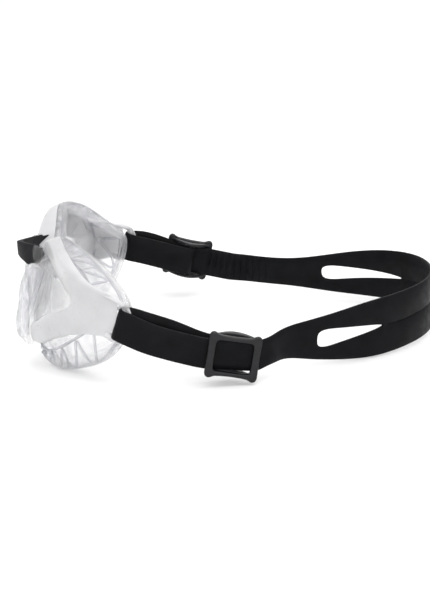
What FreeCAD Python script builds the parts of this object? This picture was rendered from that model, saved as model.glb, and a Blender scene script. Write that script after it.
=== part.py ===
import FreeCAD, Part
import math
import os

import Sketcher
from FreeCAD import Placement, Rotation, Vector

# Two-cup swim mask with a split head strap, in millimetres.
# +X is the wearer's left, +Y runs back round the head, +Z is up.
# The origin is on the floor plane, midway between the cups and midway from front to back.

SIZES = {
    "strap_width": 17.0,
    "strap_thickness": 1.8,
    "arm_half_width": 77.2,
    "arm_bar_depth": 64.2,
    "arm_bar_radius": 2.0,
    "arm_thickness": 2.6,
    "slot_height": 18.4,
    "slot_centre_height": 35.5,
    "frame_wall": 2.0,
    "carrier_wall": 1.5,
    "gasket_wall": 1.6,
    "lens_thickness": 2.0,
    "lens_seat": 1.7,
    "carrier_reach": 1.2,
    "piece_clearance": 0.3,
    "soft_clearance": 0.4,
    "bridge_half_width": 11.5,
    "bridge_height": 11.5,
    "bridge_thickness": 4.0,
    "buckle_length": 28.5,
    "buckle_height": 28.5,
    "buckle_bar_width": 3.8,
    "buckle_bar_depth": 3.0,
    "buckle_rail": 1.8,
    "rail_clearance": 0.8,
    "centre_bar_radius": 1.5,
    "buckle_left_depth": 122.0,
    "buckle_right_depth": 101.0,
    "origin_depth": 121.1,
}

doc = FreeCAD.newDocument("swim_mask")
sheet = doc.addObject("Spreadsheet::Sheet", "sizes")
for row, (alias, value) in enumerate(SIZES.items(), start=1):
    sheet.set("A%d" % row, alias)
    sheet.set("B%d" % row, str(value))
    sheet.setAlias("B%d" % row, alias)
doc.recompute()


def size(alias):
    return float(sheet.get(alias))


# ---------------------------------------------------------------- sketch helpers

def origin_plane(body, role):
    for feature in body.Origin.OriginFeatures:
        if feature.Role == role:
            return feature
    raise ValueError(role)


def new_sketch(body, name, role="XY_Plane", base=Vector(), turn=Rotation()):
    sketch = body.newObject("Sketcher::SketchObject", name)
    sketch.AttachmentSupport = [(origin_plane(body, role), "")]
    sketch.MapMode = "FlatFace"
    sketch.AttachmentOffset = Placement(base, turn)
    return sketch


def flat(x, y):
    return Vector(x, y, 0)


def closed_spline(points):
    curve = Part.BSplineCurve()
    curve.interpolate(Points=[flat(*p) for p in points], PeriodicFlag=True)
    return curve


def open_spline(points):
    curve = Part.BSplineCurve()
    curve.interpolate(Points=[flat(*p) for p in points])
    return curve


def pole_spline(poles):
    """A smooth curve that leaves its first pole towards the second and ends the same way."""
    curve = Part.BSplineCurve()
    curve.buildFromPoles([flat(*p) for p in poles], False, 3)
    return curve


def add_loop(sketch, pieces):
    """Adds curves that follow one another, where a list of points stands for straight lines."""
    for piece in pieces:
        if isinstance(piece, list):
            for a, b in zip(piece, piece[1:]):
                sketch.addGeometry(Part.LineSegment(flat(*a), flat(*b)), False)
        else:
            sketch.addGeometry(piece, False)


def add_rectangle(sketch, low, high):
    corners = [low, (high[0], low[1]), high, (low[0], high[1]), low]
    add_loop(sketch, [corners])


def add_circle(sketch, centre, alias):
    index = sketch.addGeometry(Part.Circle(flat(*centre), Vector(0, 0, 1), size(alias)), False)
    number = sketch.addConstraint(Sketcher.Constraint("Radius", index, size(alias)))
    sketch.setExpression("Constraints[%d]" % number, "sizes." + alias)


def new_body(name):
    body = doc.addObject("PartDesign::Body", name)
    body.Label = name
    return body


def pad(body, sketch, length, symmetric=False, expression=None, reverse=False):
    feature = body.newObject("PartDesign::Pad", sketch.Name + "_pad")
    feature.Profile = sketch
    feature.Length = length
    if symmetric:
        feature.SideType = "Symmetric"
    feature.Reversed = reverse
    if expression:
        feature.setExpression("Length", expression)
    return feature


def pocket(body, sketch, length, symmetric=True, reverse=False):
    feature = body.newObject("PartDesign::Pocket", sketch.Name + "_cut")
    feature.Profile = sketch
    feature.Length = length
    if symmetric:
        feature.SideType = "Symmetric"
    feature.Reversed = reverse
    return feature


# ---------------------------------------------------------------- cup shapes

# Outlines of the left cup in front view, as (x, z): nose top, top, temple top, temple,
# temple bottom, bottom, nose bottom, nose. Each list is the section at one depth.
SHELL_OUTLINES = [
    (-8.0, [(18, 47), (32, 52), (44, 48), (50, 38), (46, 26), (37, 16), (27, 20), (18, 34)]),
    (6.0, [(15, 55), (33, 62), (50, 57), (58, 42), (53, 27), (38, 13), (24, 17), (14, 36)]),
    (24.0, [(14, 62), (42, 75), (60, 63), (68, 44), (60, 25), (40, 12), (22, 15), (12, 40)]),
    (60.0, [(14, 64), (43, 76), (62, 65), (71, 44), (62, 23), (42, 11), (22, 14), (12, 40)]),
]
GASKET_OUTLINES = [
    (14.0, [(19, 60), (42, 69), (57, 59), (63, 43), (55, 24), (38, 14), (25, 18), (17, 40)]),
    (24.0, [(18, 62), (42, 71), (58, 61), (65, 42), (60, 16), (42, 0.3), (26, 8), (16, 40)]),
    (75.0, [(18, 63), (40, 74.5), (55, 63), (72, 42), (66, 20), (47, -0.9), (28, 6), (17, 39)]),
]

# Plan curves, as (x, y) at mid height, where the pieces of a cup end.
WINDOW_EDGE = [(8, 11), (20, 12), (32, 14.5), (45, 18.5), (55, 24), (62, 31), (80, 52)]
FRAME_BACK = [(8, 20), (20, 21), (32, 22), (45, 25), (55, 30), (62, 36.5), (80, 60)]
FACE_EDGE = [(8, 33), (20, 33.5), (32, 34.5), (42, 38), (50, 46), (57, 55), (64, 62.5), (84, 79)]
LENS_PLAN = [(8, 7), (20, 3.6), (34, 5.5), (44, 9), (54, 15.5), (62, 23), (68, 31)]
SHELL_TILT = 0.14
FACE_TILT = 0.09
EYE_OUTLINE = [(20, 57), (42, 65.5), (55, 57), (60, 43), (53, 27), (38, 17.5), (27, 21), (19, 40)]
EYE_DEPTH = 37.0
LENS_TILT = 0.22
MID_HEIGHT = 40.0


def inset(outline, distance):
    """Moves a closed outline inwards by a distance, point by point along its normals."""
    curve = closed_spline(outline)
    middle_x = sum(p[0] for p in outline) / len(outline)
    middle_z = sum(p[1] for p in outline) / len(outline)
    moved = []
    for x, z in outline:
        tangent = curve.tangent(curve.parameter(flat(x, z)))[0]
        normal = Vector(-tangent.y, tangent.x, 0)
        if normal.dot(flat(middle_x - x, middle_z - z)) < 0:
            normal = normal * -1
        moved.append((x + normal.x * distance, z + normal.y * distance))
    return moved


def loft(body, name, outlines, distance, side, kind):
    """Lofts a cup's sections, each moved inwards by a distance."""
    sketches = []
    for number, (depth, outline) in enumerate(outlines):
        sketch = new_sketch(body, "%s_%d" % (name, number), "XZ_Plane", Vector(0, 0, -depth))
        points = [(side * x, z) for x, z in inset(outline, distance)]
        sketch.addGeometry(closed_spline(points), False)
        sketches.append(sketch)
    feature = body.newObject(kind, name)
    feature.Profile = sketches[0]
    feature.Sections = sketches[1:]
    feature.Ruled = True
    return feature


def plan_sketch(body, name, tilt):
    """A sketch in plan whose normal leans back by the tilt, and the scale of its second axis."""
    angle = math.atan(tilt)
    turn = Rotation(Vector(1, 0, 0), -math.degrees(angle))
    sketch = new_sketch(body, name, "XY_Plane", Vector(0, 0, MID_HEIGHT), turn)
    return sketch, math.cos(angle)


def trim(body, name, plan, offset, tilt, side, far):
    """Cuts away everything between a plan curve and a far depth."""
    sketch, scale = plan_sketch(body, name, tilt)
    points = [(side * x, (y + offset) * scale) for x, y in plan]
    start, end = points[0], points[-1]
    add_loop(sketch, [open_spline(points), [end, (end[0], far), (start[0], far), start]])
    return pocket(body, sketch, 240)


def ring(body, outlines, outer, wall, front, back, side):
    """A tube shell between two plan curves given as (curve, offset, tilt)."""
    name = body.Name
    loft(body, name + "_outside", outlines, outer, side, "PartDesign::AdditiveLoft")
    loft(body, name + "_inside", outlines, outer + wall, side, "PartDesign::SubtractiveLoft")
    trim(body, name + "_front", front[0], front[1], front[2], side, -60)
    trim(body, name + "_back", back[0], back[1], back[2], side, 140)


def filled_cup(name, outlines, distance, front, back, side):
    """The solid inside a cup's outlines, between two plan curves given as (curve, offset, tilt)."""
    body = doc.addObject("PartDesign::Body", name)
    loft(body, name + "_outside", outlines, distance, side, "PartDesign::AdditiveLoft")
    trim(body, name + "_front", front[0], front[1], front[2], side, -60)
    trim(body, name + "_back", back[0], back[1], back[2], side, 140)
    return body


def hollow_out(name, solid, core):
    cut = doc.addObject("Part::Cut", name)
    cut.Label = name
    cut.Base = solid
    cut.Tool = core
    return cut


def build_lens(name, side):
    """Clear pane bent back at the temple, with a wall all round that runs back to the frame."""
    thick = size("lens_thickness")
    clear = size("frame_wall") + size("piece_clearance")
    seat = size("lens_seat")
    solid = filled_cup(name + "_solid", SHELL_OUTLINES, clear, (LENS_PLAN, 0.0, LENS_TILT),
                       (WINDOW_EDGE, seat, SHELL_TILT), side)
    core = filled_cup(name + "_core", SHELL_OUTLINES, clear + thick, (LENS_PLAN, thick, LENS_TILT),
                      (WINDOW_EDGE, seat + 20, SHELL_TILT), side)
    return hollow_out(name, solid, core)


def build_gasket(name, side):
    """Soft skirt: a front web round the eye opening and a wall that runs back to the face."""
    wall = size("gasket_wall")
    start = size("carrier_reach") + size("piece_clearance")
    solid = filled_cup(name + "_solid", GASKET_OUTLINES, 0.0, (FRAME_BACK, start, SHELL_TILT),
                       (FACE_EDGE, 0.0, FACE_TILT), side)
    core = filled_cup(name + "_core", GASKET_OUTLINES, wall, (FRAME_BACK, start + wall, SHELL_TILT),
                      (FACE_EDGE, 20.0, FACE_TILT), side)
    eye = new_sketch(solid, name + "_eye", "XZ_Plane")
    eye.addGeometry(closed_spline([(side * x, z) for x, z in EYE_OUTLINE]), False)
    pocket(solid, eye, 2 * EYE_DEPTH)
    return hollow_out(name, solid, core)


def build_carrier(name, side):
    body = new_body(name)
    outer = size("frame_wall") + size("piece_clearance")
    front = size("lens_seat") + size("piece_clearance")
    ring(body, SHELL_OUTLINES, outer, size("carrier_wall"), (WINDOW_EDGE, front, SHELL_TILT),
         (FRAME_BACK, size("carrier_reach"), SHELL_TILT), side)
    return body


def build_frame(name, side):
    """Ring round the window with the temple arm, its strap slot and the bar behind the slot."""
    body = new_body(name)
    ring(body, SHELL_OUTLINES, 0.0, size("frame_wall"), (WINDOW_EDGE, 0.0, SHELL_TILT),
         (FRAME_BACK, 0.0, SHELL_TILT), side)
    half = size("arm_thickness") / 2
    bar_x = size("arm_half_width")
    bar_y = size("arm_bar_depth")
    radius = size("arm_bar_radius")
    slot_front = bar_y - radius - size("strap_thickness") - 2.2
    run = new_sketch(body, name + "_arm_plan")
    outside = [(69.5, 31.0), (72.6, 41.5), (75.6, 52.0), (bar_x + half, bar_y)]
    inside = [(bar_x - half, bar_y), (72.9, 53.0), (69.6, 45.0), (67.0, 34.0)]
    outside = [(side * x, y) for x, y in outside]
    inside = [(side * x, y) for x, y in inside]
    add_loop(run, [open_spline(outside), [outside[-1], inside[0]]])
    add_loop(run, [open_spline(inside), [inside[-1], outside[0]]])
    pad(body, run, 76)
    middle = size("slot_centre_height")
    reach = size("slot_height") / 2
    slot = new_sketch(body, name + "_slot", "YZ_Plane")
    add_rectangle(slot, (slot_front, middle - reach), (bar_y, middle + reach))
    pocket(body, slot, 130, symmetric=False, reverse=side > 0)
    bar = new_sketch(body, name + "_bar_plan")
    add_circle(bar, (side * bar_x, bar_y), "arm_bar_radius")
    pad(body, bar, 76)
    shape = new_sketch(body, name + "_side", "YZ_Plane")
    end = bar_y + radius + 0.6
    upper = [(30, 58), (40, 59), (48, 57), (57, 52), (end, middle + reach + 2.6)]
    lower = [(end, middle - reach - 2.2), (50, 25.0), (38, 25.5), (30, 27.0)]
    add_loop(shape, [upper + [(90, upper[-1][1]), (90, 110), (30, 110), upper[0]]])
    pocket(body, shape, 130, symmetric=False, reverse=side > 0)
    under = new_sketch(body, name + "_under", "YZ_Plane")
    add_loop(under, [lower + [(30, -30), (90, -30), (90, lower[0][1]), lower[0]]])
    pocket(body, under, 130, symmetric=False, reverse=side > 0)
    return body


# ---------------------------------------------------------------- nose bridge

def build_bridge():
    """Arched bow tie between the cups: low in the middle, tall at its two ends."""
    body = new_body("nose_bridge")
    reach = size("bridge_half_width")
    thick = size("bridge_thickness")
    sketch = new_sketch(body, "bridge_plan", "XY_Plane", Vector(0, 0, 60),
                        Rotation(Vector(1, 0, 0), -math.degrees(math.atan(0.5))))
    scale = math.cos(math.atan(0.5))
    front = [(-reach, 14.5), (-0.55 * reach, 7.2), (0, 3.2), (0.55 * reach, 7.2), (reach, 14.5)]
    rear = [(x, y + thick * (1 + 0.25 * abs(x) / reach)) for x, y in front]
    front = [(x, y * scale) for x, y in front]
    rear = [(x, y * scale) for x, y in rear]
    add_loop(sketch, [open_spline(front), [front[-1], rear[-1]]])
    add_loop(sketch, [open_spline(rear[::-1]), [rear[0], front[0]]])
    pad(body, sketch, 60, symmetric=True)
    half = size("bridge_height") / 2
    shape = new_sketch(body, "bridge_face", "XZ_Plane")
    add_rectangle(shape, (-60, 0), (60, 140))
    end = reach + 1
    mid = 0.5 * reach
    top = [(-end, 58 + half), (-mid, 62), (0, 65), (mid, 62), (end, 58 + half)]
    low = [(-end, 58 - half), (-mid, 56.6), (0, 59.2), (mid, 56.6), (end, 58 - half)]
    add_loop(shape, [open_spline(top), [top[-1], low[-1]]])
    add_loop(shape, [open_spline(low[::-1]), [low[0], top[0]]])
    pocket(body, shape, 300)
    return body


# ---------------------------------------------------------------- strap

# Side profiles as (y, height of the middle, height of the band). The runs are the straight
# lengths of band behind the arms, where the buckles slide. The bends and BACK_HALF are the
# poles, as (x, y), of the plan curve from the end of a run to the middle of the back.
LEFT_PROFILE = [(150, 18.0, 17.2), (164, 16.6, 21.4), (180, 15.7, 27.4), (195, 16.1, 32.0),
                (208, 16.9, 33.2), (225, 18.3, 32.6), (252, 20.0, 31.6)]
RIGHT_PROFILE = [(150, 16.1, 16.9), (168, 15.9, 17.6), (187, 16.1, 23.4), (201, 16.8, 27.2),
                 (215, 17.6, 30.0), (228, 18.5, 31.6), (252, 20.0, 31.6)]
LEFT_RUN = {"start": 84.0, "end": 134.0, "slope": -0.1, "height": 16.0, "at": "buckle_left_depth"}
RIGHT_RUN = {"start": 74.0, "end": 127.0, "slope": -0.27, "height": 24.2, "at": "buckle_right_depth"}
LEFT_BEND = [(80.4, 141), (74.0, 146), (67.2, 154)]
RIGHT_BEND = [(80.4, 134), (76.0, 142), (68.2, 154)]
BACK_HALF = [(61.0, 174), (55.0, 194), (47.0, 214), (32.0, 233), (12.0, 242.1)]
LEFT_SLOT = {"front": (168.6, 15.4), "tip": (208.5, 17.2), "half": 6.2, "shoulder": 10.0}
RIGHT_SLOT = {"front": (184.0, 16.4), "tip": (230.5, 17.5), "half": 5.6, "shoulder": 12.0}
BEND_REACH = 5.0


def run_height(run, depth):
    return run["height"] + run["slope"] * (depth - size(run["at"]))


def band_edges(run, profile):
    """The upper and lower edge of the band in side view, from the arm to the back."""
    width = size("strap_width")
    slant = width * math.sqrt(1 + run["slope"] ** 2)
    middle = size("slot_centre_height")
    first = [(40, middle, width), (size("arm_bar_depth") + 3, middle, width)]
    straight = [(run["start"], run_height(run, run["start"]), slant),
                (run["end"], run_height(run, run["end"]), slant)]
    parts = []
    for sign in (1, -1):
        def edge(rows):
            return [(y, z + sign * tall / 2) for y, z, tall in rows]
        level = edge(first)
        slope = edge(straight)
        reach = (slope[0][0] - level[1][0]) / 3
        rise = pole_spline([level[1], (level[1][0] + reach, level[1][1]),
                            (slope[0][0] - reach, slope[0][1] - reach * run["slope"]), slope[0]])
        bend = (slope[1][0] + BEND_REACH, slope[1][1] + BEND_REACH * run["slope"])
        tail = pole_spline([slope[1], bend] + edge(profile))
        parts.append([level, rise, slope, tail, edge(profile)[-1]])
    return parts


def cut_to_band(body, name, run, profile, side):
    """Cuts one half of a body to the band's side view."""
    sketch = new_sketch(body, name, "YZ_Plane")
    upper, lower = band_edges(run, profile)
    add_rectangle(sketch, (-40, -80), (320, 160))
    add_loop(sketch, [upper[0], upper[1], upper[2], upper[3], [upper[4], lower[4]]])
    add_loop(sketch, [lower[0], lower[1], lower[2], lower[3], [upper[0][0], lower[0][0]]])
    return pocket(body, sketch, 130, symmetric=False, reverse=side > 0)


def offset_curve(poles, distance):
    """A spline at a distance to the left of the smooth curve with these poles, and its points."""
    middle = pole_spline(poles)
    first, last = middle.FirstParameter, middle.LastParameter
    steps = 3 * len(poles)
    moved = []
    for step in range(steps + 1):
        parameter = first + (last - first) * step / steps
        point = middle.value(parameter)
        tangent = middle.tangent(parameter)[0]
        moved.append((point.x - tangent.y * distance, point.y + tangent.x * distance))
    return open_spline(moved), moved


def wrap_points(side, distance):
    """Where the band goes round the arm bar, at a distance from the bar's axis."""
    x = side * size("arm_half_width")
    y = size("arm_bar_depth")
    return [flat(x - side * distance, y), flat(x, y - distance), flat(x + side * distance, y)]


def build_strap():
    """One band from arm bar to arm bar round the head, with a slot in each half of its back."""
    body = new_body("strap")
    half = size("strap_thickness") / 2
    radius = size("arm_bar_radius") + size("piece_clearance") + half
    line = size("arm_half_width") + radius
    tail = size("arm_bar_depth") + 4.0
    left = [(line, LEFT_RUN["end"])] + LEFT_BEND + BACK_HALF
    right = [(-line, RIGHT_RUN["end"])] + [(-x, y) for x, y in RIGHT_BEND + BACK_HALF]
    path = left + right[::-1]
    sketch = new_sketch(body, "strap_plan")
    ends = []
    for sign in (-1, 1):
        curve, points = offset_curve(path, sign * half)
        distance = radius - sign * half
        left_arc = wrap_points(1, distance)
        right_arc = wrap_points(-1, distance)
        left_tail = (left_arc[0].x, tail)
        right_tail = (right_arc[0].x, tail)
        sketch.addGeometry(Part.Arc(*left_arc), False)
        sketch.addGeometry(Part.Arc(*right_arc), False)
        add_loop(sketch, [[left_tail, (left_arc[0].x, left_arc[0].y)]])
        add_loop(sketch, [[(left_arc[2].x, left_arc[2].y), points[0]]])
        add_loop(sketch, [curve, [points[-1], (right_arc[2].x, right_arc[2].y)]])
        add_loop(sketch, [[(right_arc[0].x, right_arc[0].y), right_tail]])
        ends.append((left_tail, right_tail))
    add_loop(sketch, [[ends[0][0], ends[1][0]], [ends[0][1], ends[1][1]]])
    pad(body, sketch, 60)
    cut_to_band(body, "strap_left_side", LEFT_RUN, LEFT_PROFILE, 1)
    cut_to_band(body, "strap_right_side", RIGHT_RUN, RIGHT_PROFILE, -1)
    for side, slot in ((1, LEFT_SLOT), (-1, RIGHT_SLOT)):
        name = "left_slot" if side > 0 else "right_slot"
        sketch = new_sketch(body, name, "YZ_Plane")
        front, tip, reach = slot["front"], slot["tip"], slot["half"]
        shoulder = front[0] + slot["shoulder"]
        upper = [front, (front[0], front[1] + reach), (shoulder, front[1] + reach + 0.6), tip]
        lower = [tip, (shoulder, front[1] - reach), (front[0], front[1] - reach), front]
        add_loop(sketch, [pole_spline(upper), pole_spline(lower)])
        pocket(body, sketch, 130, symmetric=False, reverse=side > 0)
    return body


def build_return(name, side, run, profile):
    """The band's end, from the arm bar back to the buckle, and its loop round the centre bar."""
    body = new_body(name)
    half = size("strap_thickness") / 2
    wrap = size("arm_bar_radius") + size("piece_clearance") + half
    start_x = size("arm_half_width") - wrap
    start_y = size("arm_bar_depth") + 4.0 + size("piece_clearance")
    bar_x = size("arm_half_width") + wrap - centre_bar_drop()
    bar_y = size(run["at"])
    loop = size("centre_bar_radius") + size("piece_clearance")
    near_x = bar_x - loop - half
    band = new_sketch(body, name + "_plan")
    end_y = bar_y - 2
    corners = [(start_x - half, start_y), (start_x + half, start_y)]
    corners += [(near_x + half, end_y), (near_x - half, end_y)]
    add_loop(band, [[(side * x, y) for x, y in corners + corners[:1]]])
    pad(body, band, 60)
    cut_to_band(body, name + "_side", run, profile, side)
    lean = Rotation(Vector(1, 0, 0), math.degrees(math.atan(run["slope"])))
    turn = new_sketch(body, name + "_loop", "XY_Plane", Vector(0, bar_y, run_height(run, bar_y)), lean)
    near, far = loop, loop + 2 * half
    for distance in (near, far):
        left, right = side * (bar_x - distance), side * (bar_x + distance)
        arc = Part.Arc(flat(left, 0), flat(side * bar_x, distance), flat(right, 0))
        add_loop(turn, [[(left, -6), (left, 0)], arc, [(right, 0), (right, -5)]])
    add_loop(turn, [[(side * (bar_x - near), -6), (side * (bar_x - far), -6)]])
    add_loop(turn, [[(side * (bar_x + near), -5), (side * (bar_x + far), -5)]])
    pad(body, turn, size("strap_width"), symmetric=True, expression="sizes.strap_width")
    return body


# ---------------------------------------------------------------- buckles

def centre_bar_drop():
    """How far the centre bar lies on the head side of the running band's middle."""
    return (size("strap_thickness") * 1.5 + 2 * size("piece_clearance") + size("centre_bar_radius"))


def build_buckle(name, side, run):
    """Slider with two end bars outside the band, arched rails, and a centre bar inside it.

    It is drawn with x along the band, y away from the head and z across the band.
    """
    body = new_body(name)
    long = size("buckle_length") / 2
    wide = size("buckle_bar_width")
    clear = size("strap_thickness") / 2 + size("soft_clearance")
    deep = size("buckle_bar_depth")
    drop = centre_bar_drop()
    bars = new_sketch(body, name + "_bars")
    for sign in (-1, 1):
        x0, x1 = sign * (long - wide), sign * long
        top, bottom, corner = clear + deep, clear, 0.9
        a, b, c = (x0, bottom), (x1, bottom), (x1, top - corner)
        d, e, f = (x1 - sign * corner, top), (x0 + sign * corner, top), (x0, top - corner)
        cut = corner * (1 - math.sqrt(0.5))
        outer = Part.Arc(flat(*c), flat(x1 - sign * cut, top - cut), flat(*d))
        inner = Part.Arc(flat(*e), flat(x0 + sign * cut, top - cut), flat(*f))
        add_loop(bars, [[a, b, c], outer, [d, e], inner, [f, a]])
    pad(body, bars, size("buckle_height"), symmetric=True, expression="sizes.buckle_height")
    lift = size("strap_width") / 2 + size("rail_clearance")
    for sign in (-1, 1):
        word = "upper" if sign > 0 else "lower"
        rail = new_sketch(body, "%s_%s_rail" % (name, word), "XY_Plane", Vector(0, 0, sign * lift))
        low = -drop - size("centre_bar_radius") - 0.6
        end = long - 0.4
        top, bottom = clear + deep - 1.0, clear + 0.1
        outer = Part.Arc(flat(-end, top), flat(0, low + 3.6), flat(end, top))
        inner = Part.Arc(flat(-end, bottom), flat(0, low), flat(end, bottom))
        add_loop(rail, [outer, [(end, top), (end, bottom)], inner, [(-end, bottom), (-end, top)]])
        pad(body, rail, size("buckle_rail"), expression="sizes.buckle_rail", reverse=sign < 0)
    bar = new_sketch(body, name + "_centre")
    add_circle(bar, (0, -drop), "centre_bar_radius")
    pad(body, bar, 2 * lift + 1.0, symmetric=True)
    depth = size(run["at"])
    angle = math.atan(run["slope"])
    along = Vector(0, math.cos(angle), math.sin(angle))
    outward = Vector(side, 0, 0)
    wrap = size("arm_bar_radius") + size("piece_clearance") + size("strap_thickness") / 2
    centre = Vector(side * (size("arm_half_width") + wrap), depth, run_height(run, depth))
    body.Placement = Placement(centre, Rotation(along, outward, along.cross(outward), "XYZ"))
    return body


# ---------------------------------------------------------------- the mask

bodies = []
for word, side in (("left", 1), ("right", -1)):
    bodies.append(build_lens("lens_" + word, side))
    bodies.append(build_carrier("lens_carrier_" + word, side))
    bodies.append(build_frame("frame_" + word, side))
    bodies.append(build_gasket("gasket_" + word, side))
bodies.append(build_bridge())
bodies.append(build_strap())
bodies.append(build_return("strap_return_left", 1, LEFT_RUN, LEFT_PROFILE))
bodies.append(build_return("strap_return_right", -1, RIGHT_RUN, RIGHT_PROFILE))
bodies.append(build_buckle("buckle_left", 1, LEFT_RUN))
bodies.append(build_buckle("buckle_right", -1, RIGHT_RUN))
for body in bodies:
    base = body.Placement.Base
    body.Placement = Placement(base - Vector(0, size("origin_depth"), 0), body.Placement.Rotation)
doc.recompute()

for item in doc.Objects:
    if "Invalid" in item.State or "Error" in item.State:
        raise RuntimeError("%s failed: %s" % (item.Name, item.State))

os.makedirs("parts", exist_ok=True)
for body in bodies:
    shape = body.Shape
    if not shape.isValid() or len(shape.Solids) != 1:
        raise RuntimeError("%s is not one valid solid" % body.Label)
    box = shape.BoundBox
    print("%-22s volume %9.1f  x %6.1f %6.1f  y %6.1f %6.1f  z %6.1f %6.1f" % (
        body.Label, shape.Volume, box.XMin, box.XMax, box.YMin, box.YMax, box.ZMin, box.ZMax))
    shape.exportStep("parts/%s.step" % body.Label)
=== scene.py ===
import math

import bmesh
import bpy
import numpy as np
from mathutils import Matrix, Vector


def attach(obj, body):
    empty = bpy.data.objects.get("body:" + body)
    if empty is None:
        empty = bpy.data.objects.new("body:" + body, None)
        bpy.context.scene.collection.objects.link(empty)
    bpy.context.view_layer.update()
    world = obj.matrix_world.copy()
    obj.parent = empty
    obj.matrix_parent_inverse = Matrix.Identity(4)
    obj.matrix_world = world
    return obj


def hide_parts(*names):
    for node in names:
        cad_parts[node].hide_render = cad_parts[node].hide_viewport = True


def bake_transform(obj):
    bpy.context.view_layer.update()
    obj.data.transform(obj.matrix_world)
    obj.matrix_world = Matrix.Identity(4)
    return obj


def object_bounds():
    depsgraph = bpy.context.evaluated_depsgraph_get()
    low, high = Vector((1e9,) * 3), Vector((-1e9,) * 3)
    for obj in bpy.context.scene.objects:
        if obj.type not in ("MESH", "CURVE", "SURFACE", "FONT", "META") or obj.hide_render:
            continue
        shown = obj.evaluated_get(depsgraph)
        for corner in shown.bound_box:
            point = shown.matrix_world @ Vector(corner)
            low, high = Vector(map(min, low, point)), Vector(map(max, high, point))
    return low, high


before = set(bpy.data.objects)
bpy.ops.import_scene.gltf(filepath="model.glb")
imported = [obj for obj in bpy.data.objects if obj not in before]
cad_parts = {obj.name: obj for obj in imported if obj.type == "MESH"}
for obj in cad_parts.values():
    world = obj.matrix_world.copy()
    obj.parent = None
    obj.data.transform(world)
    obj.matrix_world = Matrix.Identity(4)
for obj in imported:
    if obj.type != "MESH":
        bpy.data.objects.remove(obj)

CAD_BOX = [list(corner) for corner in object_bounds()]

# Lengths below are in millimetres: x to the wearer's left, y back from a plane just ahead of the
# nose bridge, z up. The CAD frame's y zero lies DEPTH behind that plane.
DEPTH = 121.1
STRAP_THICKNESS = 1.8
STRAP_HALF = 8.5  # half the band's width
BAR = (77.2, 64.2)  # x and y of the arm's strap bar
BAR_HEIGHT = 35.4
WRAP_RADIUS = 3.2  # from the bar's axis to the middle of the band round it
WRAP_LEAN = 0.36  # how far the band falls for each mm back, where it turns round the bar
RUN_X = BAR[0] + WRAP_RADIUS

# The right cup's shift, the depth over which it grows, and the temple side over which it fades.
RIGHT_CUP_FORWARD = 5.6
SHIFT_FROM, SHIFT_OVER = 4, 16
TEMPLE_X, TEMPLE_FADE = 77.5, 5


# ---------------------------------------------------------------- materials

class Material:
    """A node material on one Principled shader, with helpers that add its fine detail."""

    def __init__(self, name, colour, roughness, **values):
        self.material = bpy.data.materials.new(name)
        self.material.use_nodes = True
        self.tree = self.material.node_tree
        self.tree.nodes.clear()
        out = self.tree.nodes.new("ShaderNodeOutputMaterial")
        self.shader = self.tree.nodes.new("ShaderNodeBsdfPrincipled")
        self.tree.links.new(self.shader.outputs["BSDF"], out.inputs["Surface"])
        self.shader.inputs["Base Color"].default_value = (*colour, 1)
        self.shader.inputs["Roughness"].default_value = roughness
        for key, value in values.items():
            self.shader.inputs[key.replace("_", " ")].default_value = value
        self.where = self.tree.nodes.new("ShaderNodeTexCoord").outputs["Object"]
        self.normal = None

    def stretched(self, scale):
        """The object's coordinates, scaled along each axis."""
        node = self.tree.nodes.new("ShaderNodeMapping")
        node.inputs["Scale"].default_value = scale
        self.tree.links.new(self.where, node.inputs["Vector"])
        return node.outputs["Vector"]

    def noise(self, scale, detail=4.0, vector=None):
        node = self.tree.nodes.new("ShaderNodeTexNoise")
        node.inputs["Scale"].default_value = scale
        node.inputs["Detail"].default_value = detail
        node.inputs["Roughness"].default_value = 0.55
        self.tree.links.new(vector or self.where, node.inputs["Vector"])
        return node.outputs["Fac"]

    def colour(self, factor, dark, light):
        """Lets a factor choose the base colour between two tones."""
        ramp = self.tree.nodes.new("ShaderNodeValToRGB")
        ramp.color_ramp.elements[0].position = 0.35
        ramp.color_ramp.elements[1].position = 0.65
        ramp.color_ramp.elements[0].color = (*dark, 1)
        ramp.color_ramp.elements[1].color = (*light, 1)
        self.tree.links.new(factor, ramp.inputs["Fac"])
        self.tree.links.new(ramp.outputs["Color"], self.shader.inputs["Base Color"])

    def rough(self, factor, low, high):
        """Lets a factor choose the roughness between two values."""
        node = self.tree.nodes.new("ShaderNodeMapRange")
        node.inputs["From Min"].default_value = 0.3
        node.inputs["From Max"].default_value = 0.7
        node.inputs["To Min"].default_value = low
        node.inputs["To Max"].default_value = high
        self.tree.links.new(factor, node.inputs["Value"])
        self.tree.links.new(node.outputs["Result"], self.shader.inputs["Roughness"])

    def bump(self, height, distance, strength):
        """Adds relief on top of any relief already there. The distance is in metres."""
        node = self.tree.nodes.new("ShaderNodeBump")
        node.inputs["Distance"].default_value = distance
        node.inputs["Strength"].default_value = strength
        self.tree.links.new(height, node.inputs["Height"])
        if self.normal:
            self.tree.links.new(self.normal, node.inputs["Normal"])
        self.normal = node.outputs["Normal"]
        self.tree.links.new(self.normal, self.shader.inputs["Normal"])


def black_silicone():
    m = Material("black_silicone", (0.005, 0.005, 0.006), 0.5, Specular_IOR_Level=0.09,
                 Sheen_Weight=0.008, Sheen_Roughness=0.4, Sheen_Tint=(0.75, 0.8, 0.9, 1))
    m.colour(m.noise(90), (0.0022, 0.0023, 0.003), (0.0045, 0.0046, 0.006))
    m.rough(m.noise(240), 0.4, 0.56)
    m.bump(m.noise(2600, 2.0), 0.00003, 0.5)
    m.bump(m.noise(140, 2.0), 0.0002, 0.25)
    return m.material


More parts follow.
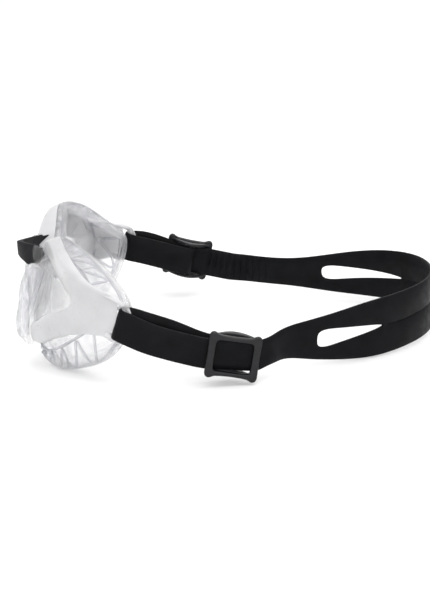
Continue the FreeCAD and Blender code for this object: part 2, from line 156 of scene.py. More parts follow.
def black_plastic():
    m = Material("black_plastic", (0.006, 0.006, 0.007), 0.34, Specular_IOR_Level=0.32)
    m.colour(m.noise(300), (0.004, 0.004, 0.005), (0.008, 0.008, 0.01))
    m.rough(m.noise(700), 0.26, 0.42)
    m.bump(m.noise(3200, 3.0), 0.00004, 0.6)
    return m.material


def black_rubber():
    m = Material("black_rubber", (0.006, 0.006, 0.007), 0.46, Specular_IOR_Level=0.22)
    m.colour(m.noise(260), (0.004, 0.004, 0.005), (0.008, 0.008, 0.01))
    m.rough(m.noise(500), 0.38, 0.55)
    m.bump(m.noise(2400, 3.0), 0.00004, 0.6)
    return m.material


def white_plastic():
    m = Material("white_plastic", (0.52, 0.52, 0.53), 0.32, Coat_Weight=0.2, Coat_Roughness=0.15,
                 Subsurface_Weight=0.7, Subsurface_Scale=0.004, Subsurface_Radius=(1, 1, 1))
    m.colour(m.noise(60), (0.49, 0.49, 0.5), (0.55, 0.55, 0.56))
    m.rough(m.noise(350), 0.26, 0.4)
    m.bump(m.noise(700, 2.0), 0.00003, 0.3)
    return m.material


def clear(name, dark, light, low, high, weight, alpha=1.0, streaks=None):
    """A clear material. Weight is the share of light that bends through it instead of scattering,
    alpha below one lets some pass straight through, and streaks stretches the tint's noise.
    """
    m = Material(name, light, low, IOR=1.42, Transmission_Weight=weight, Alpha=alpha)
    m.colour(m.noise(130, 3.0, vector=streaks and m.stretched(streaks)), dark, light)
    m.rough(m.noise(420, 2.0), low, high)
    m.bump(m.noise(230, 2.0), 0.00025, 0.5)
    return m.material


SILICONE = black_silicone()
PLASTIC = black_plastic()
RUBBER = black_rubber()
WHITE = white_plastic()
# The front pane's grey tint is painted shade: the clear lens looks darker where it is seen through
# at a grazing angle.
LENS_FRONT_PAINTED_SHADE = clear("clear_lens_front_painted_shade", (0.62, 0.63, 0.66), (0.87, 0.87, 0.9), 0.05, 0.16,
                   weight=0.88, alpha=0.8, streaks=(3.0, 1.2, 0.25))
# The crease's dark tint is painted shade along the fold between the front and the side pane.
LENS_CREASE_PAINTED_SHADE = clear("clear_lens_crease_painted_shade", (0.2, 0.21, 0.24), (0.28, 0.29, 0.32), 0.1, 0.2,
                    weight=0.6)
# The side pane's near-white tint is painted light, a lit copy of the same clear lens plastic as the
# grey front pane.
LENS_SIDE_PAINTED_LIGHT = clear("clear_lens_side_painted_light", (0.94, 0.94, 0.95), (1, 1, 1), 0.04, 0.12,
                  weight=0.85, alpha=0.42)
CARRIER = clear("clear_plastic", (0.92, 0.92, 0.94), (0.99, 0.99, 1), 0.06, 0.2,
                weight=0.85, alpha=0.36)
GASKET = clear("clear_silicone", (0.82, 0.82, 0.84), (0.92, 0.92, 0.93), 0.1, 0.26,
               weight=0.82, alpha=0.58)
# The ribs' darker tint is painted shade, standing in for the dark refraction lines along the clear
# silicone ribs.
LATTICE_PAINTED_SHADE = clear("clear_silicone_rib_painted_shade", (0.7, 0.71, 0.74), (0.86, 0.86, 0.88), 0.08, 0.2,
                weight=0.85)


# ---------------------------------------------------------------- mesh helpers

def finish_mesh(bm, name, materials, body="mask", angle=50):
    """Makes an object in the CAD frame from a bmesh in millimetres."""
    bmesh.ops.remove_doubles(bm, verts=bm.verts, dist=1e-4)
    bmesh.ops.recalc_face_normals(bm, faces=bm.faces)
    mesh = bpy.data.meshes.new(name)
    bm.to_mesh(mesh)
    bm.free()
    mesh.transform(Matrix.Scale(0.001, 4) @ Matrix.Translation((0, -DEPTH, 0)))
    for material in materials:
        mesh.materials.append(material)
    mesh.shade_smooth()
    mesh.set_sharp_from_angle(angle=math.radians(angle))
    obj = bpy.data.objects.new(name, mesh)
    bpy.context.scene.collection.objects.link(obj)
    if body:
        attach(obj, body)
    return obj


def subdivide(obj, levels):
    modifier = obj.modifiers.new("smooth", "SUBSURF")
    modifier.levels = modifier.render_levels = levels


def add_grid(bm, rows, around=False, across=False):
    """Quads over rows of points. Around closes each row on itself, across joins last to first."""
    verts = [[bm.verts.new(p) for p in row] for row in rows]
    count = len(rows[0])
    for i in range(len(rows) if across else len(rows) - 1):
        first, second = verts[i], verts[(i + 1) % len(rows)]
        for j in range(count if around else count - 1):
            k = (j + 1) % count
            bm.faces.new((first[j], first[k], second[k], second[j]))
    return verts


def close_ends(bm, verts):
    """Caps the first and the last ring of a grid."""
    bm.faces.new(verts[0])
    bm.faces.new(verts[-1])


def crease(bm, verts, value):
    """Sharpens the closed line through these vertices, for subdivision."""
    layer = bm.edges.layers.float.get("crease_edge") or bm.edges.layers.float.new("crease_edge")
    for a, b in zip(verts, verts[1:] + verts[:1]):
        edge = bm.edges.get((a, b))
        if edge:
            edge[layer] = value


def closed_curve(points, per):
    """A smooth closed curve through the points, with the same number of steps in each span."""
    p = np.asarray(points, float)
    rows = []
    for i in range(len(p)):
        a, b, c, d = p[i - 1], p[i], p[(i + 1) % len(p)], p[(i + 2) % len(p)]
        gaps = [max(1e-6, np.linalg.norm(v - u) ** 0.5) for u, v in ((a, b), (b, c), (c, d))]
        t0, t1, t2, t3 = np.cumsum([0] + gaps)
        for t in np.linspace(t1, t2, per, endpoint=False):
            ab = a * (t1 - t) / (t1 - t0) + b * (t - t0) / (t1 - t0)
            bc = b * (t2 - t) / (t2 - t1) + c * (t - t1) / (t2 - t1)
            cd = c * (t3 - t) / (t3 - t2) + d * (t - t2) / (t3 - t2)
            left = ab * (t2 - t) / (t2 - t0) + bc * (t - t0) / (t2 - t0)
            right = bc * (t3 - t) / (t3 - t1) + cd * (t - t1) / (t3 - t1)
            rows.append(left * (t2 - t) / (t2 - t1) + right * (t - t1) / (t2 - t1))
    return np.array(rows)


def inward(curve, amount, back=0.0):
    """A closed curve moved towards its own middle in front view, and back."""
    curve = np.asarray(curve, float)
    step = curve.mean(axis=0) - curve
    step[:, 1] = 0
    step /= np.linalg.norm(step, axis=1)[:, None]
    return curve + step * amount + (0, back, 0)


def mirrored(points, side):
    return np.asarray(points, float) * (side, 1, 1)


def placed(points, side):
    """Cup points on one side. The right cup lies a little further forward than the left.

    The shift fades out towards the front of the lens and towards the strap bar.
    """
    points = mirrored(points, side)
    if side < 0:
        depth = np.clip((points[:, 1] - SHIFT_FROM) / SHIFT_OVER, 0, 1)
        temple = np.clip((TEMPLE_X + points[:, 0]) / TEMPLE_FADE, 0, 1)
        points[:, 1] -= RIGHT_CUP_FORWARD * (depth * temple)
    return points


def tube(bm, path, radius, closed=False, sides=8, flat=1.0):
    """A tube along a path, whose radius may change. Flat stretches it to an oval."""
    path = np.asarray(path, float)
    radius = np.broadcast_to(radius, len(path))
    ahead = np.roll(path, -1, axis=0) - np.roll(path, 1, axis=0)
    if not closed:
        ahead[0] = path[1] - path[0]
        ahead[-1] = path[-1] - path[-2]
    ahead /= np.linalg.norm(ahead, axis=1)[:, None]
    up = np.array((0.31, 0.22, 0.92))  # any direction that no path follows
    rings = []
    for point, direction, r in zip(path, ahead, radius):
        across = np.cross(direction, up)
        across /= np.linalg.norm(across)
        up = np.cross(across, direction)
        angles = np.linspace(0, 2 * math.pi, sides, endpoint=False)
        ring = [point + r * (math.cos(a) * across + flat * math.sin(a) * up) for a in angles]
        rings.append(ring)
    verts = add_grid(bm, rings, around=True, across=closed)
    if not closed:
        close_ends(bm, verts)


def bspline(poles, count):
    """Points along the clamped cubic B-spline with these poles."""
    poles = np.asarray(poles, float)
    n = len(poles)
    knots = np.concatenate(([0] * 3, np.linspace(0, 1, n - 2), [1] * 3))
    t = np.linspace(0, 1 - 1e-9, count)
    basis = [((knots[i] <= t) & (t < knots[i + 1])).astype(float) for i in range(n + 3)]
    for degree in range(1, 4):
        grown = []
        for i in range(n + 3 - degree):
            total = np.zeros(count)
            if knots[i + degree] > knots[i]:
                total += (t - knots[i]) / (knots[i + degree] - knots[i]) * basis[i]
            if knots[i + degree + 1] > knots[i + 1]:
                share = (knots[i + degree + 1] - t) / (knots[i + degree + 1] - knots[i + 1])
                total += share * basis[i + 1]
            grown.append(total)
        basis = grown
    return np.array(basis).T @ poles


def smooth_path(points, count):
    """An open smooth curve close to the points, which starts and ends on them."""
    points = [points[0]] + list(points) + [points[-1]]
    return bspline(points, count)


# ---------------------------------------------------------------- cups

# Closed curves round the left cup, from the top of the nose side over the temple and back
# under the eye: the window's edge, the brow's crest and the frame's rear edge.
WINDOW = [(15, 21, 58.5), (31, 25, 59), (45, 29.5, 54), (56, 34.5, 49), (60.5, 36.5, 45.5),
          (61, 36, 43), (58.5, 32.5, 40), (51, 21, 34.5), (46, 16, 30), (40, 11.5, 26),
          (34, 11, 16), (17, 13.5, 36)]
CREST = [(13.5, 19, 61), (36, 25, 72.3), (53, 31, 67.5), (63.5, 39, 57), (68.5, 44.5, 49.5),
         (69, 44.5, 42), (68.5, 42, 34), (62, 33, 27), (53, 24, 22), (42, 16.5, 16),
         (27, 11, 14), (12, 15, 38)]
REAR = [(15, 30.2, 64), (38.5, 32, 75.2), (55, 38, 67.3), (67.5, 47.5, 57), (75.5, 60.5, 50.6),
        (77.3, 62.5, 45.5), (77, 57, 29.8), (67, 45, 28.4), (54.5, 32.5, 24), (42, 21.5, 16.7),
        (31, 14.5, 12.5), (12, 23.2, 38)]
STEPS = 4  # points in each span of a closed curve


def build_frame(name, side):
    """White ring with a creased brow, whose temple side runs out to the strap bar."""
    window, crest, rear = (closed_curve(c, STEPS) for c in (WINDOW, CREST, REAR))
    rows = [
        inward(window, 1.4, 1.6),
        window,
        inward((window + crest) / 2, -0.7, -0.5),  # the front face, slightly domed
        crest,
        inward((crest + rear) / 2, -0.5),  # the outer side
        rear,
        inward(rear, 1.9, -0.4),  # the inner side
        inward(crest, 2.4, 1.6),
    ]
    bm = bmesh.new()
    verts = add_grid(bm, [placed(r, side) for r in rows], around=True, across=True)
    crease(bm, verts[1], 0.75)
    crease(bm, verts[3], 0.35)
    crease(bm, verts[5], 0.75)
    crease(bm, verts[6], 0.6)
    obj = finish_mesh(bm, name, [WHITE], angle=75)
    subdivide(obj, 2)
    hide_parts("frame_" + name.split("_")[1])


# The arm's end: a horn above the strap, and the bar that the strap turns round.
HORN = [(73.0, 55, 51.2), (75.6, 60, 50), (77.2, 64.5, 47.6), (78.0, 68, 43.8), (77.9, 69, 41.4)]
HORN_RADII = (0.3, 1.3, 1.8, 1.3, 0.4)
HORN_FLATNESS = 0.75
STRAP_BAR = [(77.3, 66.0, 46.4), (77.2, 67.0, 43), (BAR[0], BAR[1] + 0.2, BAR_HEIGHT),
             (77.0, 61.2, 27.5), (76.6, 58.4, 28), (75.6, 55, 31)]
STRAP_BAR_RADII = (1.8, 1.8)
HOOK_STEPS = 30


def build_hook(name, side):
    """The horn and the bar behind the frame's strap slot."""
    bm = bmesh.new()
    for path, radii, flat in ((HORN, HORN_RADII, HORN_FLATNESS), (STRAP_BAR, STRAP_BAR_RADII, 1.0)):
        curve = smooth_path(path, HOOK_STEPS)
        radii = np.interp(np.linspace(0, 1, HOOK_STEPS), np.linspace(0, 1, len(radii)), radii)
        tube(bm, placed(curve, side), radii, sides=14, flat=flat)
    finish_mesh(bm, name + "_hook", [WHITE])


# The lens, as pairs of points on the window's edge and on the edge of its front pane.
LENS_WINDOW = [(15, 21, 58.5), (31, 25, 59), (45, 29.5, 54), (56, 34.5, 49), (61, 36.5, 44.5),
               (59, 33, 40.3), (53, 23.5, 36), (41, 12.2, 26.5), (38, 11.4, 19.5),
               (33.5, 9.2, 12.2), (27.5, 5.6, 13.6), (22.5, 10.5, 27), (18, 14, 37),
               (15, 17.5, 46)]
LENS_PANE = [(13.5, 9.5, 51.7), (24, 15.5, 55.2), (35, 21.5, 56.4), (36, 20, 51.5),
             (37, 17.6, 46), (38, 15.2, 39), (39, 12.8, 33), (39.8, 10.3, 27), (39, 10.2, 22.5),
             (35.5, 7.6, 17.6), (30, 3.2, 17), (27, 1.9, 24), (23.5, 3.7, 33.2), (17.5, 4.9, 42.5)]
LENS_WALL = 1.8
PANE_RINGS = (0.07, 0.18, 0.4, 0.7, 0.9)  # rings across the pane's outer face, edge to middle
PANE_INNER_RINGS = (0.06, 0.16, 0.4, 0.7, 0.9)
# These spans of the crease get its dark painted shade.
CREASE_SPANS = (2, 8)  # the spans of the pane's edge that are a dark crease


def build_lens(name, side):
    """Clear shell: a front pane greyed by painted shade, a crease darkened by painted shade, and a
    side pane lightened by painted light that runs to the temple.
    """
    window = closed_curve(LENS_WINDOW, STEPS)
    pane = closed_curve(LENS_PANE, STEPS)
    middle = pane.mean(axis=0)
    rows = [inward(window, -0.6, 1.2), window, (window + pane) / 2, pane]
    inner = [inward(r, LENS_WALL, LENS_WALL * 0.8) for r in rows[:3]]
    rows += [pane + (middle - pane) * f for f in PANE_RINGS]
    inner += [pane + (middle - pane) * f + (0, LENS_WALL, 0) for f in PANE_INNER_RINGS]
    bm = bmesh.new()
    verts_out = add_grid(bm, [placed(r, side) for r in rows], around=True)
    verts_in = add_grid(bm, [placed(r, side) for r in inner], around=True)
    for loop in (verts_out[-1], verts_in[-1]):
        bm.faces.new(loop)
    count = len(verts_out[0])
    for j in range(count):
        k = (j + 1) % count
        bm.faces.new((verts_out[0][j], verts_out[0][k], verts_in[0][k], verts_in[0][j]))
    pane_verts = {v for row in verts_out[3:] + verts_in[3:] for v in row}
    # The pane takes the grey painted shade (first material), the rest the lighter painted light
    # (second material).
    for face in bm.faces:
        face.material_index = 0 if all(v in pane_verts for v in face.verts) else 1
    # These faces take the crease's dark painted shade.
    first, last = (span * STEPS for span in CREASE_SPANS)
    for a, b in zip(verts_out[3][first:last], verts_out[4][first + 1:last + 1]):
        for face in set(a.link_faces) & set(b.link_faces):
            face.material_index = 2
    crease(bm, verts_out[3], 0.7)
    crease(bm, verts_out[1], 0.5)
    obj = finish_mesh(bm, name, [LENS_FRONT_PAINTED_SHADE, LENS_SIDE_PAINTED_LIGHT, LENS_CREASE_PAINTED_SHADE], angle=80)
    subdivide(obj, 1)
    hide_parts("lens_" + name.split("_")[1])


# The gasket, as matched closed curves from its neck inside the frame to its face rim.
NECK = [(15.5, 25, 56), (24, 26, 66), (38, 29, 72), (48, 32, 70), (54, 36, 66), (60, 42, 60),
        (66, 45, 48), (66, 43, 34), (59, 31, 27), (50, 24, 20), (43, 20.5, 15.5),
        (35, 18.5, 15.5), (26, 19, 17), (17, 21, 27), (14.5, 24, 42)]
BULGE = [(15.5, 30, 58), (23.5, 31.5, 69), (39, 33, 75.2), (50, 39, 72.4), (56.5, 45, 66.5),
         (63, 52, 58.5), (71, 58, 46), (71, 56, 30), (65, 45, 14), (54, 33, 5.8),
         (44, 23, 2.6), (34.5, 17, 5.2), (25, 20, 9), (15.5, 25, 26), (13.8, 27, 42)]
RIM = [(18, 34.5, 55), (26.5, 36, 68), (40, 37, 74), (50, 46, 70.5), (53.5, 55, 63), (59, 62, 55),
       (71, 69, 43), (71, 66, 27), (63, 58, 13), (52, 47, 4.6), (44, 37, 1.0), (34, 32, 1.9),
       (24, 31, 8), (17, 31, 26), (16, 32, 42)]
GASKET_WALL = 1.3

# The lattice: teeth round the skirt, its heights from neck (0) to rim (1), and the part of the way
# round, under the eye, where the teeth lean.
LATTICE_TEETH = 18
LATTICE_LOW, LATTICE_RISE = 0.2, 0.54
LATTICE_RADIUS = 0.8
LATTICE_RAILS = ((0.16, 0.8), (0.8, 0.9))  # height and radius of each rail
LATTICE_LEAN = 0.07
LEAN_FROM, LEAN_TO = 0.36, 0.82


def gasket_rows():
    """Rows of the skirt's outer face from neck to rim, and the flange that lies on the face."""
    neck, bulge, rim = (closed_curve(c, STEPS) for c in (NECK, BULGE, RIM))
    pull = 2 * bulge - (neck + rim) / 2
    rows = [neck * (1 - t) ** 2 + pull * 2 * t * (1 - t) + rim * t ** 2
            for t in np.linspace(0, 1, 7)]
    flange = [inward(rim, 2.0, 1.2), inward(rim, 5.0, -0.5), inward(rim, 7.5, -3.0)]
    return rows, flange


def surface_point(rows, u, v):
    """A point of the skirt, u of the way round and v of the way from neck to rim."""
    rows = np.asarray(rows)
    a = v * (len(rows) - 1)
    i = min(int(a), len(rows) - 2)
    b = (u % 1) * rows.shape[1]
    j = int(b) % rows.shape[1]
    k = (j + 1) % rows.shape[1]
    f, g = a - i, b - int(b)
    low = rows[i, j] * (1 - g) + rows[i, k] * g
    high = rows[i + 1, j] * (1 - g) + rows[i + 1, k] * g
    return low * (1 - f) + high * f


def build_gasket(name, side):
    """Clear skirt with a rolled rim."""
    rows, flange = gasket_rows()
    outside = rows + flange
    inside = [inward(r, GASKET_WALL, 0.2) for r in rows[:-1]]
    inside += [inward(rows[-1], 2.2, 0.0), inward(flange[1], 0.3, -1.3)]
    loop = outside + inside[::-1]
    bm = bmesh.new()
    add_grid(bm, [placed(r, side) for r in loop], around=True, across=True)
    obj = finish_mesh(bm, name, [GASKET], angle=85)
    subdivide(obj, 2)
    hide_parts("gasket_" + name.split("_")[1])


def build_lattice(name, side):
    """A zigzag of ribs between two rails, on the skirt's inner face."""
    ribs = [inward(r, GASKET_WALL + 0.3, 0.2) for r in gasket_rows()[0]]
    samples = LATTICE_TEETH * 24
    zigzag = []
    for i in range(samples):
        u = i / samples
        wave = 2 * abs((u * LATTICE_TEETH) % 1 - 0.5)
        wave = wave * wave * (3 - 2 * wave)
        lean = 0.0
        if LEAN_FROM < u < LEAN_TO:
            lean = max(0.0, math.sin(math.pi * (u - LEAN_FROM) / (LEAN_TO - LEAN_FROM)))
        zigzag.append(surface_point(ribs, u + LATTICE_LEAN * lean * wave,
                                    LATTICE_LOW + LATTICE_RISE * wave))
    bm = bmesh.new()
    tube(bm, placed(zigzag, side), LATTICE_RADIUS, closed=True)
    for height, radius in LATTICE_RAILS:
        line = [surface_point(ribs, i / 180, height) for i in range(180)]
        tube(bm, placed(line, side), radius, closed=True)
    finish_mesh(bm, name + "_lattice", [LATTICE_PAINTED_SHADE])


def build_carrier(name, side):
    """Clear ring behind the window."""
    window, rear = closed_curve(WINDOW, STEPS), closed_curve(REAR, STEPS)
    # On the temple side the ring stops short of the arm.
    rear = np.where(rear[:, :1] > 64, inward(rear, 8, -9), rear)
    rows = [inward(window, 2.6, 2.0), inward(rear, 2.9, 0.6), inward(rear, 4.3, 0.6),
            inward(window, 4.2, 2.2)]
    bm = bmesh.new()
    verts = add_grid(bm, [placed(r, side) for r in rows], around=True, across=True)
    for row in verts:
        crease(bm, row, 0.6)
    obj = finish_mesh(bm, name, [CARRIER], angle=75)
    subdivide(obj, 2)
    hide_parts("lens_carrier_" + name.split("_")[1])


SOCKET = [(12.2, 15.4, 57.8), (14.2, 18.2, 57.8), (16.5, 21.5, 57.6)]
SOCKET_RADIUS, SOCKET_RIB = 2.8, 0.25
SOCKET_STEPS = 22


def build_socket(name, side):
    """The carrier's ribbed plug, which takes the nose bridge."""
    swell = SOCKET_RADIUS + SOCKET_RIB * np.sin(np.linspace(0, 8 * math.pi, SOCKET_STEPS))
    bm = bmesh.new()
    tube(bm, placed(smooth_path(SOCKET, SOCKET_STEPS), side), swell, sides=24, flat=2.1)
    finish_mesh(bm, name + "_socket", [CARRIER])


BRIDGE_HALF = 11.4  # half the bridge's length without its plugs
PLUG_END = 14.8
# One turn round the bridge, as shares of its thickness and of half its height.
BRIDGE_PROFILE = [(0.0, -0.82), (0.0, 0.82), (0.1, 0.94), (0.3, 1.0), (0.8, 0.97), (1.0, 0.85),
                  (1.0, -0.85), (0.8, -0.97), (0.3, -1.0), (0.1, -0.94)]


def build_bridge():
    """Arched bow tie, taller and thinner towards its ends, with a plug at each end."""
    x = np.concatenate(([-PLUG_END, -11.3], np.linspace(-11.2, 11.2, 33), [11.3, PLUG_END]))
    share = np.minimum(np.abs(x) / BRIDGE_HALF, 1)
    front = 3.6 + 9.2 * share ** 1.4 + np.maximum(np.abs(x) - BRIDGE_HALF, 0) * 1.5
    plug = np.where(np.abs(x) > 11.25, 0.78, 1.0)
    half = (4.2 + 1.4 * share ** 1.3) * plug
    thick = (3.4 - 1.1 * share) * plug
    rings = [[(place, y + t * a + 0.6 * s * h * b, 60.0 - 1.8 * s + h * b)
              for a, b in BRIDGE_PROFILE]
             for place, s, y, h, t in zip(x, share, front, half, thick)]
    bm = bmesh.new()
    close_ends(bm, add_grid(bm, rings, around=True))
    obj = finish_mesh(bm, "bow_tie_bridge", [RUBBER], angle=35)
    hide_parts("nose_bridge")


# ---------------------------------------------------------------- strap

# The band on each side. Its run is straight: it lies at "height" at y "at", where the buckle sits,
# and rises by "slope" for each mm back, up to y "end". "turn" is the buckle's own slope. "front"
# gives (y, z) of the band's middle from the bar to the run, and "back" the same for the folded
# end. Just behind the run the middle rises by "lift" and both edges come in by "pinch", and
# "profile" gives y, z and width from there on. "slot" gives its front and its tip as (y, z), half
# its height at the front, and how far back its wide part reaches.
SIDES = {
    1: {
        "at": 122.0, "height": 16.0, "slope": -0.1, "end": 133.5, "turn": -0.2,
        "lift": 1.3, "pinch": 1.4,
        "front": [(BAR[1], BAR_HEIGHT), (69, 32.6), (78, 27.9), (87, 24.4), (97, 21.0),
                  (106, 18.3)],
        "back": [(66, 36.2), (69.8, 34.9), (76, 32.4), (82.3, 29.9), (88.5, 27.3),
                 (94.7, 24.2), (100.9, 21.0), (107.2, 18.4)],
        "profile": [(149, 18.0, 16.4), (164, 16.2, 22.4), (180, 15.7, 27.4), (195, 16.1, 32.0),
                    (208, 16.9, 33.2), (225, 18.3, 32.6), (252, 20.0, 31.6)],
        "slot": {"front": (168.6, 15.4), "tip": (206.5, 17.2), "half": 6.2, "shoulder": 10.0},
    },
    -1: {
        "at": 101.0, "height": 24.2, "slope": -0.27, "end": 127.0, "turn": -0.27,
        "lift": -1.35, "pinch": 0.0,
        "front": [(BAR[1], BAR_HEIGHT), (68, 35.3), (72, 34.8), (77, 33.4), (83, 31.0)],
        "back": [(66, 34.6), (72, 33.0), (80, 30.6)],
        "profile": [(150, 16.1, 16.9), (168, 15.9, 17.6), (187, 16.1, 23.4), (201, 16.8, 27.2),
                    (215, 17.6, 30.0), (228, 18.5, 31.6), (252, 20.0, 31.6)],
        "slot": {"front": (184.0, 16.4), "tip": (230.5, 17.5), "half": 5.6, "shoulder": 12.0},
    },
}
# The band's plan behind each run, as (x, y) on the left, and the half loop both sides share.
BEND = {1: [(80.4, 141), (74.0, 146), (67.2, 154)], -1: [(80.4, 134), (76.0, 142), (68.2, 154)]}
BACK_HALF = [(61.0, 174), (55.0, 194), (47.0, 214), (32.0, 233), (12.0, 242.1)]
RIB_START, RIB_END, RIB_PITCH, RIB_DEPTH = 112.0, 152.0, 4.0, 1.0
EDGE = 0.5  # rounding of the band's edges
SEAM_DEPTH = 0.55
SLOT_AHEAD, SLOT_BEHIND = 12, 20  # where the inner rows leave the band's middle for the slot
BEND_LENGTH = 5
TURN_STEPS = 19
HIDDEN_END = 3.8  # how far the band goes on behind the bar, under the folded end
PLAN_STEP = 0.1
HEAD_MIDDLE = 150
BACK_MIX = 16  # the width at the back of the head over which one side becomes the other
COARSE_STEP, RIB_STEP, SLOT_STEP = 1.4, 0.4, 0.15


def run_height(data, y):
    return data["height"] + data["slope"] * (y - data["at"])


def smooth_heights(knots):
    """Heights that pass smoothly through a list of (y, height) knots, as two arrays."""
    ys, zs = np.array(knots, float).T
    fine = np.linspace(ys[0], ys[-1], 400)
    slopes = np.gradient(zs, ys)
    i = np.clip(np.searchsorted(ys, fine) - 1, 0, len(ys) - 2)
    h = ys[i + 1] - ys[i]
    t = (fine - ys[i]) / h
    z = ((1 + 2 * t) * (1 - t) ** 2 * zs[i] + t * (1 - t) ** 2 * h * slopes[i]
         + t * t * (3 - 2 * t) * zs[i + 1] + t * t * (t - 1) * h * slopes[i + 1])
    return fine, z


def band_edges(data):
    """Arrays of y and height for the upper and the lower edge of the band on one side."""
    slant = STRAP_HALF * math.sqrt(1 + data["slope"] ** 2)
    last = data["front"][-1][0]
    line = [(y, run_height(data, y)) for y in np.linspace(last + 10, data["end"], 4)]
    ys, zs = smooth_heights(data["front"] + line)
    edges = []
    for sign in (1, -1):
        start = (data["end"], run_height(data, data["end"]) + sign * slant)
        bend = (start[0] + BEND_LENGTH, start[1] + data["lift"] - sign * data["pinch"])
        tail = bspline([start, bend] + [(y, z + sign * h / 2) for y, z, h in data["profile"]], 300)
        edges.append((np.concatenate((ys[:-1], tail[:, 0])),
                      np.concatenate((zs[:-1] + sign * slant, tail[:, 1]))))
    return edges


def slot_edges(slot):
    """Arrays of (y, height) for the upper and the lower edge of a slot."""
    front, tip, half = slot["front"], slot["tip"], slot["half"]
    shoulder = front[0] + slot["shoulder"]
    upper = [front, (front[0], front[1] + half), (shoulder, front[1] + half - 1.4),
             (tip[0] - 0.6, tip[1] + 1.3), tip]
    lower = [front, (front[0], front[1] - half), (shoulder, front[1] - half + 2.4),
             (tip[0] - 0.6, tip[1] - 1.3), tip]
    return bspline(upper, 300), bspline(lower, 300)


def inner_heights(slot, edges, y, middle):
    """Heights of the rows at the slot's upper and lower edge. They meet where it isn't open."""
    (front_y, front_z), (tip_y, tip_z) = slot["front"], slot["tip"]
    if front_y < y < tip_y:
        return [np.interp(y, edge[:, 0], edge[:, 1]) for edge in edges]
    if y < tip_y:
        near = np.clip((y - front_y + SLOT_AHEAD) / SLOT_AHEAD, 0, 1)
        meet = middle + (front_z - middle) * near
    else:
        past = np.clip((y - tip_y) / SLOT_BEHIND, 0, 1)
        meet = tip_z + past * (middle - tip_z)
    return [meet, meet]


def strap_stations():
    """Stations along the band: x, y, and the heights of its two edges and its inner rows."""
    left = [(RUN_X, SIDES[1]["end"])] + BEND[1] + BACK_HALF
    right = [(-RUN_X, SIDES[-1]["end"])] + [(-x, y) for x, y in BEND[-1] + BACK_HALF]
    plan = np.vstack((
        [(RUN_X, y) for y in np.arange(BAR[1], SIDES[1]["end"], PLAN_STEP)],
        bspline(left + right[::-1], 4000),
        [(-RUN_X, y) for y in np.arange(SIDES[-1]["end"] - PLAN_STEP, BAR[1], -PLAN_STEP)]))
    edges = {side: band_edges(data) for side, data in SIDES.items()}
    slots = {side: slot_edges(data["slot"]) for side, data in SIDES.items()}
    rows = []
    for x, y in plan:
        share = np.clip(0.5 + x / BACK_MIX, 0, 1)
        top, bottom = (share * np.interp(y, *one) + (1 - share) * np.interp(y, *other)
                       for one, other in zip(edges[1], edges[-1]))
        side = 1 if x > 0 else -1
        high, low = inner_heights(SIDES[side]["slot"], slots[side], y, (top + bottom) / 2)
        rows.append((x, y, top, bottom, high, low))
    return np.array(rows)


def choose_stations(rows):
    """Picks stations a coarse step apart, and closer along the ribs and at the slots' ends."""
    x, y = rows[:, 0], rows[:, 1]
    length = np.concatenate(([0], np.cumsum(np.hypot(np.diff(x), np.diff(y)))))
    picked = [0]
    for i in range(1, len(rows)):
        side = 1 if x[i] > 0 else -1
        slot = SIDES[side]["slot"]
        near = abs(y[i] - slot["front"][0]) < 2.5 or abs(y[i] - slot["tip"][0]) < 1.5
        ribbed = side < 0 and RIB_START - 2 < y[i] < RIB_END + 2
        step = SLOT_STEP if near else RIB_STEP if ribbed else COARSE_STEP
        if length[i] - length[picked[-1]] >= step:
            picked.append(i)
    picked.append(len(rows) - 1)
    return rows[picked]


# A section of the band is its place, normal, direction across, four heights along that direction
# (upper edge, lower edge, upper and lower inner row), and the depths of its seam and its rib.

def bar_turn(side):
    """Sections of the band's turn round the bar, from its hidden end to the run."""
    along = np.array((0, 1, -WRAP_LEAN)) / math.hypot(1, WRAP_LEAN)
    across = np.array((0, WRAP_LEAN, 1)) / math.hypot(1, WRAP_LEAN)
    sections = []
    for angle in np.linspace(math.pi, 0.0, TURN_STEPS)[:-1]:
        normal = np.array((side * math.cos(angle), 0, 0)) - math.sin(angle) * along
        place = np.array((side * BAR[0], BAR[1], BAR_HEIGHT)) + WRAP_RADIUS * normal
        sections.append((place, normal, across, STRAP_HALF, -STRAP_HALF, 0, 0, 0.0, 0.0))
    return [(sections[0][0] + HIDDEN_END * along, *sections[0][1:])] + sections


def run_sections():
    """Sections of the band from the left bar round the head to the right bar."""
    rows = choose_stations(strap_stations())
    middle = np.column_stack((rows[:, 0], rows[:, 1], (rows[:, 2] + rows[:, 3]) / 2))
    ahead = np.gradient(middle, axis=0)
    ahead /= np.linalg.norm(ahead, axis=1)[:, None]
    sections = []
    for place, direction, (x, y, top, bottom, high, low) in zip(middle, ahead, rows):
        across = np.array((0, 0, 1)) - direction[2] * direction
        across /= np.linalg.norm(across)
        normal = np.cross(direction, across)
        if normal @ np.array((x, y - HEAD_MIDDLE, 0)) < 0:  # it has to point outwards
            normal = -normal
        side = 1 if x > 0 else -1
        seam = SEAM_DEPTH * np.clip((y - SIDES[side]["slot"]["tip"][0]) / 6, 0, 1)
        rib = 0.0
        if side < 0 and RIB_START < y < RIB_END:
            turn = 2 * math.pi * (y - RIB_START) / RIB_PITCH
            rib = RIB_DEPTH * (0.5 - 0.5 * math.cos(turn)) ** 2
        z, scale = place[2], 1 / across[2]
        sections.append((place, normal, across, top - z, bottom - z,
                         (high - z) * scale, (low - z) * scale, seam, rib))
    return sections


